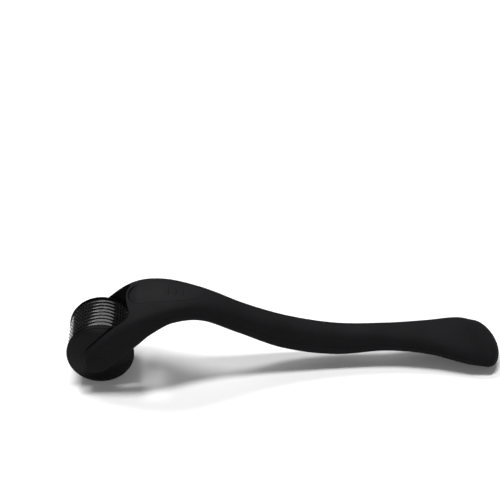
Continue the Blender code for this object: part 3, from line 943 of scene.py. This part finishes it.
class Look:
    """Small helper that adds nodes to one material."""

    def __init__(self, name):
        self.mat = bpy.data.materials.new(name)
        self.mat.use_nodes = True
        self.tree = self.mat.node_tree
        self.shader = self.tree.nodes["Principled BSDF"]
        self.place = self.add("ShaderNodeTexCoord").outputs["Object"]

    def add(self, kind, **values):
        node = self.tree.nodes.new(kind)
        for key, value in values.items():
            setattr(node, key, value)
        return node

    def link(self, source, target):
        self.tree.links.new(source, target)

    def noise(self, scale, detail=3.0, roughness=0.5, stretch=None):
        node = self.add("ShaderNodeTexNoise")
        node.inputs["Scale"].default_value = scale
        node.inputs["Detail"].default_value = detail
        node.inputs["Roughness"].default_value = roughness
        source = self.place
        if stretch:
            mapping = self.add("ShaderNodeMapping")
            mapping.inputs["Scale"].default_value = stretch
            self.link(source, mapping.inputs["Vector"])
            source = mapping.outputs["Vector"]
        self.link(source, node.inputs["Vector"])
        return node.outputs["Fac"]

    def ramp(self, fac, stops):
        """Blend between two stops of (place, colour)."""
        node = self.add("ShaderNodeValToRGB")
        for element, (place, colour) in zip(node.color_ramp.elements, stops):
            element.position = place
            element.color = (*colour, 1.0)
        self.link(fac, node.inputs["Fac"])
        return node.outputs["Color"]

    def range(self, fac, low, high):
        """The noise's usual span, stretched over low to high."""
        node = self.add("ShaderNodeMapRange")
        for key, value in (
            ("From Min", 0.3), ("From Max", 0.7), ("To Min", low), ("To Max", high),
        ):
            node.inputs[key].default_value = value
        self.link(fac, node.inputs["Value"])
        return node.outputs["Result"]

    def math(self, operation, a, b):
        node = self.add("ShaderNodeMath", operation=operation)
        for socket, value in zip(node.inputs, (a, b)):
            if isinstance(value, (int, float)):
                socket.default_value = value
            else:
                self.link(value, socket)
        return node.outputs["Value"]

    def bump(self, height, distance):
        node = self.add("ShaderNodeBump")
        node.inputs["Strength"].default_value = 1.0
        node.inputs["Distance"].default_value = distance
        self.link(height, node.inputs["Height"])
        self.link(node.outputs["Normal"], self.shader.inputs["Normal"])

    def set(self, **values):
        for key, value in values.items():
            self.shader.inputs[key.replace("_", " ")].default_value = value


def grey(value, tint=(1.0, 1.0, 1.0)):
    return tuple(value * t for t in tint)


COOL_TINT = (1.0, 1.0, 1.12)
HEAT_TINT = (1.0, 0.97, 0.93)


def moulded(name, value, rough, level, grain):
    """Black plastic: cloudy tone, fine eroded grain and a few polished rub marks."""
    look = Look(name)
    cloud = look.noise(90.0, 4.0, 0.6)
    speck = look.noise(3800.0, 2.0)
    mixed = look.math("ADD", look.math("MULTIPLY", cloud, 0.75), look.math("MULTIPLY", speck, 0.25))
    look.link(
        look.ramp(mixed, (
            (0.32, grey(value * 0.82, COOL_TINT)), (0.68, grey(value * 1.18, COOL_TINT)),
        )),
        look.shader.inputs["Base Color"],
    )
    rub = look.noise(55.0, 5.0, 0.65)
    look.link(look.range(rub, rough - 0.07, rough + 0.05), look.shader.inputs["Roughness"])
    look.bump(look.noise(6500.0, 2.0, 0.5), grain * MM)
    look.set(Specular_IOR_Level=level)
    return look.mat


def polished_black(name):
    """Gloss black plastic with hairline scratches and faint smears."""
    look = Look(name)
    smear = look.noise(160.0, 4.0, 0.6)
    look.link(
        look.ramp(smear, ((0.35, grey(0.004)), (0.7, grey(0.008)))),
        look.shader.inputs["Base Color"],
    )
    scratch = look.noise(700.0, 3.0, 0.6, stretch=(1.0, 12.0, 1.0))
    look.link(look.range(scratch, 0.05, 0.11), look.shader.inputs["Roughness"])
    look.bump(scratch, 0.0015 * MM)
    look.set(Specular_IOR_Level=0.5)
    return look.mat


def steel(name, value, rough, stretch):
    """Steel with a fine or brushed grain and a slight heat tint."""
    look = Look(name)
    tone = look.noise(900.0, 3.0, 0.6)
    look.link(
        look.ramp(tone, ((0.3, grey(value * 0.82, HEAT_TINT)), (0.7, grey(value)))),
        look.shader.inputs["Base Color"],
    )
    brushed = look.noise(1500.0, 4.0, 0.6, stretch=stretch)
    look.link(look.range(brushed, rough - 0.08, rough + 0.1), look.shader.inputs["Roughness"])
    look.bump(brushed, 0.002 * MM)
    look.set(Metallic=1.0)
    return look.mat


# Base value, roughness, specular level and height of the grain in millimetres
soft_black = moulded("soft_black", 0.0054, 0.72, 0.05, 0.012)
pad_black = moulded("pad_black", 0.0054, 0.68, 0.05, 0.008)
satin_black = moulded("satin_black", 0.0036, 0.24, 0.07, 0.003)
core_black = moulded("core_black", 0.010, 0.45, 0.3, 0.008)
gloss_black = polished_black("gloss_black")

# Base value, roughness and stretch of the grain
needle_steel = steel("needle_steel", 0.09, 0.34, (1.0, 1.0, 1.0))
pin_steel = steel("pin_steel", 0.60, 0.22, (1.0, 0.08, 1.0))


def place(obj, body, slot, material, *nodes):
    """Gives a piece its material and its body, and hides the CAD nodes it replaces; slot is not
    used.
    """
    obj.data.materials.clear()
    obj.data.materials.append(material)
    if nodes:
        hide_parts(*nodes)
    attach(obj, body)


# Object ----------------------------------------------------------------------------------

upper = upper_cover()
lower = lower_cover()
cut(upper, pad_pocket())
for side in (-1, 1):
    cut(lower, arm_recess(side))
place(upper, "handle", "soft_black", soft_black, "upper_shell")
place(lower, "handle", "soft_black", soft_black, "lower_shell")
place(thumb_pad(), "handle", "inlay_black", pad_black, "thumb_inlay")
for k, x in enumerate(RIB_X):
    place(pad_rib(k, x), "handle", "inlay_black", pad_black)
for end, side in (("front", -1), ("back", 1)):
    piece = axle_cap(f"arm_cap_{end}", side)
    place(piece, "handle", "soft_black", soft_black, f"axle_cap_{end}")
for end, side in (("front", -1), ("back", 1)):
    piece = end_disc(f"closing_disc_{end}", side)
    place(piece, "roller", "satin_black", satin_black, f"end_disc_{end}")
for k in range(SPACERS):
    piece = spacer(f"gloss_spacer_{k + 1}", f"spacer_ring_{k + 1}")
    place(piece, "roller", "gloss_black", gloss_black, f"spacer_ring_{k + 1}")
for k in range(NEEDLE_DISCS):
    piece = needle_disc(f"needle_row_{k + 1}", f"needle_disc_{k + 1}")
    place(piece, "roller", "needle_steel", needle_steel, f"needle_disc_{k + 1}")
for name, material in (("axle_pin", pin_steel), ("roller_core", core_black)):
    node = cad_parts[name]
    for slot in node.material_slots:
        slot.material = material


# Studio ----------------------------------------------------------------------------------

FLOOR_HALF = 6.0                  # metres, as are the dark reflection card and the lights
# Painted reflection: a dark card, seen only in gloss, that darkens what the glossy spacers reflect
DARK_REFLECTION_CARD_Y = 0.042
DARK_REFLECTION_CARD_CORNERS = ((-0.30, 0.0), (0.12, 0.0), (0.12, 0.014), (-0.30, 0.081))

# Name, place, width, height and watts of each light, all of which face the origin
SOFTBOXES = (
    ("key", (-0.05, 0.19, 1.6), 1.0, 0.3, 24.5),
    ("rear", (-0.6, 1.0, 1.6), 0.8, 0.4, 25.0),
    ("back", (-0.1, 1.5, 1.15), 2.4, 0.9, 9.5),
    ("front", (0.0, -1.35, 0.4), 1.6, 0.7, 8.5),
)
AMBIENT = 0.18

CAMERA_PLACE = (27.5294596, -301.360420, 207.872425)     # from the floor under the axle
CAMERA_AZIMUTH = 0.0636074600                # radians
CAMERA_ELEVATION = -0.505757268              # radians
CAMERA_LENS = 81.85
SENSOR_WIDTH = 36.0


def make_floor():
    """Pale floor that the object stands on."""
    bm = bmesh.new()
    bmesh.ops.create_grid(bm, x_segments=4, y_segments=4, size=FLOOR_HALF)
    obj = finish_mesh("floor", bm)
    look = Look("floor_white")
    tone = look.noise(2.0, 2.0)
    look.link(
        look.ramp(tone, ((0.0, grey(0.76)), (1.0, grey(0.77)))),
        look.shader.inputs["Base Color"],
    )
    look.set(Roughness=0.9, Specular_IOR_Level=0.1)
    obj.data.materials.append(look.mat)


def make_flag():
    """Dark card behind the roller, seen only in gloss: it paints a dark reflection into the glossy
    pieces, and lights nothing and casts no shadow.
    """
    bm = bmesh.new()
    bm.faces.new([bm.verts.new((x, DARK_REFLECTION_CARD_Y, z)) for x, z in DARK_REFLECTION_CARD_CORNERS])
    obj = finish_mesh("dark_reflection_card", bm)
    look = Look("flag_black")
    look.set(Base_Color=(0.01, 0.01, 0.01, 1.0), Roughness=0.9)
    obj.data.materials.append(look.mat)
    obj.visible_camera = False
    obj.visible_diffuse = False
    obj.visible_shadow = False


def face_along(obj, direction):
    """Turns a camera or a light to look along a direction."""
    obj.rotation_euler = direction.to_track_quat("-Z", "Y").to_euler()


def softbox(name, location, width, height, energy):
    """Soft oval light that faces the origin."""
    light = bpy.data.lights.new(name, "AREA")
    light.shape = "ELLIPSE"
    light.size = width
    light.size_y = height
    light.energy = energy
    obj = bpy.data.objects.new(name, light)
    bpy.context.collection.objects.link(obj)
    obj.location = location
    face_along(obj, -Vector(location))


def make_camera():
    """Camera above and in front of the handle, level, with a short telephoto lens."""
    camera = bpy.data.cameras.new("camera")
    camera.lens = CAMERA_LENS
    camera.sensor_width = SENSOR_WIDTH
    camera.clip_start = 0.01
    obj = bpy.data.objects.new("camera", camera)
    bpy.context.collection.objects.link(obj)
    obj.location = Vector((AXLE.x, 0, 0)) + Vector(CAMERA_PLACE) * MM
    face_along(obj, Vector((
        math.sin(CAMERA_AZIMUTH) * math.cos(CAMERA_ELEVATION),
        math.cos(CAMERA_AZIMUTH) * math.cos(CAMERA_ELEVATION),
        math.sin(CAMERA_ELEVATION),
    )))
    bpy.context.scene.camera = obj


def make_world():
    """Even white ambient light."""
    world = bpy.data.worlds.new("studio")
    world.use_nodes = True
    background = world.node_tree.nodes["Background"]
    background.inputs["Color"].default_value = (1.0, 1.0, 1.0, 1.0)
    background.inputs["Strength"].default_value = AMBIENT
    bpy.context.scene.world = world


make_floor()
# Painted dark reflection in the glossy pieces
make_flag()
for box in SOFTBOXES:
    softbox(*box)
make_world()
bpy.context.scene.view_settings.view_transform = "Standard"
make_camera()
